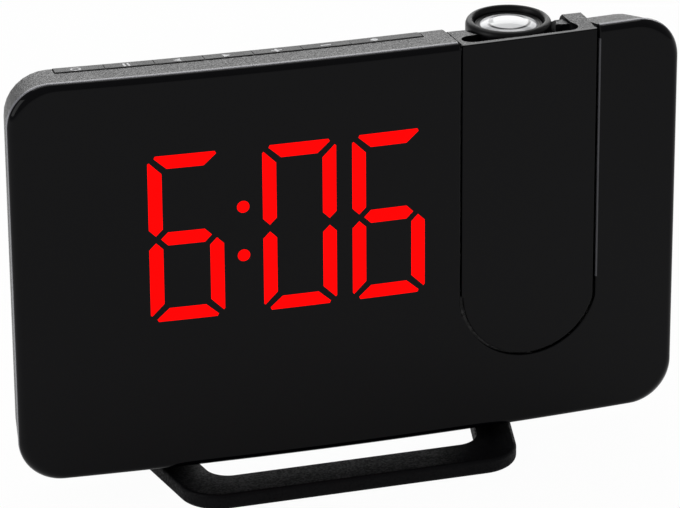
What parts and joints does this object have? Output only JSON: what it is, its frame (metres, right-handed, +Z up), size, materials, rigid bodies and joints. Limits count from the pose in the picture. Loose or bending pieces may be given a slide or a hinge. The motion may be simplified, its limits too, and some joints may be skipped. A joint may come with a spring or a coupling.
{
  "type": "projection alarm clock",
  "caption": "Free-standing alarm clock with a curved glossy face, large red seven-segment digits, top keys, a tilting projector arm with a focus ring, and a loop stand.",
  "frame": {"origin": "on the table, under the middle of the whole object's bounding box, with the stand in its standing position", "axes": "+X to the viewer's right along the face, +Y from the face to the back, +Z up"},
  "size_m": [0.188, 0.0458, 0.1249],
  "materials": {
    "gloss_black": "high gloss",
    "matte_black": "fine texture",
    "key_black": "satin",
    "ring_black": "satin",
    "lit_red": "glowing",
    "unlit_red": "dark tint",
    "white_plastic": "plain",
    "circuit_board": "solder mask",
    "component_black": "plain",
    "steel": "plated",
    "clear_lens": "polished",
    "rubber": "matte"
  },
  "bodies": {
    "clock": {"front_panel": "gloss_black", "front_shell": "matte_black", "rear_shell": "matte_black", "hinge_lugs": "matte_black", "case_screws": "steel", "lit_segments": "lit_red", "unlit_segments": "unlit_red", "segment_frame": "white_plastic", "display_board": "circuit_board", "display_leds": "white_plastic", "main_board": "circuit_board", "main_chip": "component_black", "smoothing_capacitor": "component_black", "clock_crystal": "steel", "speaker": "component_black", "key_board": "circuit_board", "key_switches": "component_black", "dc_jack": "component_black", "usb_port": "steel", "backup_cell": "steel", "cell_contacts": "steel", "cell_door": "matte_black", "cell_door_screw": "steel", "arm_pivots": "ring_black", "pivot_clips": "steel", "stand_pins": "steel"},
    "arm": {"arm_plate": "gloss_black", "arm_housing": "matte_black", "arm_back": "matte_black", "arm_screws": "steel", "optics_tube": "matte_black", "condenser_lens": "clear_lens", "image_slide": "clear_lens", "projector_board": "circuit_board", "projector_led": "white_plastic"},
    "focus_ring": {"focus_ring": "ring_black"},
    "lens": {"lens_carrier": "matte_black", "projector_lens": "clear_lens", "lens_clip": "ring_black"},
    "key_1": {"key_1": "key_black"},
    "key_2": {"key_2": "key_black"},
    "key_3": {"key_3": "key_black"},
    "key_4": {"key_4": "key_black"},
    "key_5": {"key_5": "key_black"},
    "key_6": {"key_6": "key_black"},
    "key_7": {"key_7": "key_black"},
    "stand": {"stand": "matte_black", "stand_pads": "rubber"}
  },
  "joints": [
    {"name": "arm_tilt", "type": "hinge", "parent": "clock", "child": "arm", "pos_m": [0.04995, 0.0021, 0.0503], "axis": [1, 0, 0], "range_deg": [-90, 35]},
    {"name": "focus_turn", "type": "hinge", "parent": "arm", "child": "focus_ring", "pos_m": [0.0484, 0.0034, 0.1211], "axis": [0, 0, 1], "range_deg": [-60, 60]},
    {"name": "lens_slide", "type": "slide", "parent": "arm", "child": "lens", "axis": [0, 0, 1], "range_m": [-0.001, 0.001]},
    {"name": "key_1_press", "type": "slide", "parent": "clock", "child": "key_1", "axis": [0, 0, -1], "range_m": [0, 0.0006], "stiffness_N_per_m": 1200},
    {"name": "key_2_press", "type": "slide", "parent": "clock", "child": "key_2", "axis": [0, 0, -1], "range_m": [0, 0.0006], "stiffness_N_per_m": 1200},
    {"name": "key_3_press", "type": "slide", "parent": "clock", "child": "key_3", "axis": [0, 0, -1], "range_m": [0, 0.0006], "stiffness_N_per_m": 1200},
    {"name": "key_4_press", "type": "slide", "parent": "clock", "child": "key_4", "axis": [0, 0, -1], "range_m": [0, 0.0006], "stiffness_N_per_m": 1200},
    {"name": "key_5_press", "type": "slide", "parent": "clock", "child": "key_5", "axis": [0, 0, -1], "range_m": [0, 0.0006], "stiffness_N_per_m": 1200},
    {"name": "key_6_press", "type": "slide", "parent": "clock", "child": "key_6", "axis": [0, 0, -1], "range_m": [0, 0.0006], "stiffness_N_per_m": 1200},
    {"name": "key_7_press", "type": "slide", "parent": "clock", "child": "key_7", "axis": [0, 0, -1], "range_m": [0, 0.0006], "stiffness_N_per_m": 1200},
    {"name": "stand_fold", "type": "hinge", "parent": "clock", "child": "stand", "pos_m": [-0.00225, 0.0187, 0.0047], "axis": [1, 0, 0], "range_deg": [0, 256]}
  ],
  "couplings": [
    {"joint": "focus_turn", "follows": "lens_slide", "rad_per_m": 1047.2}
  ]
}
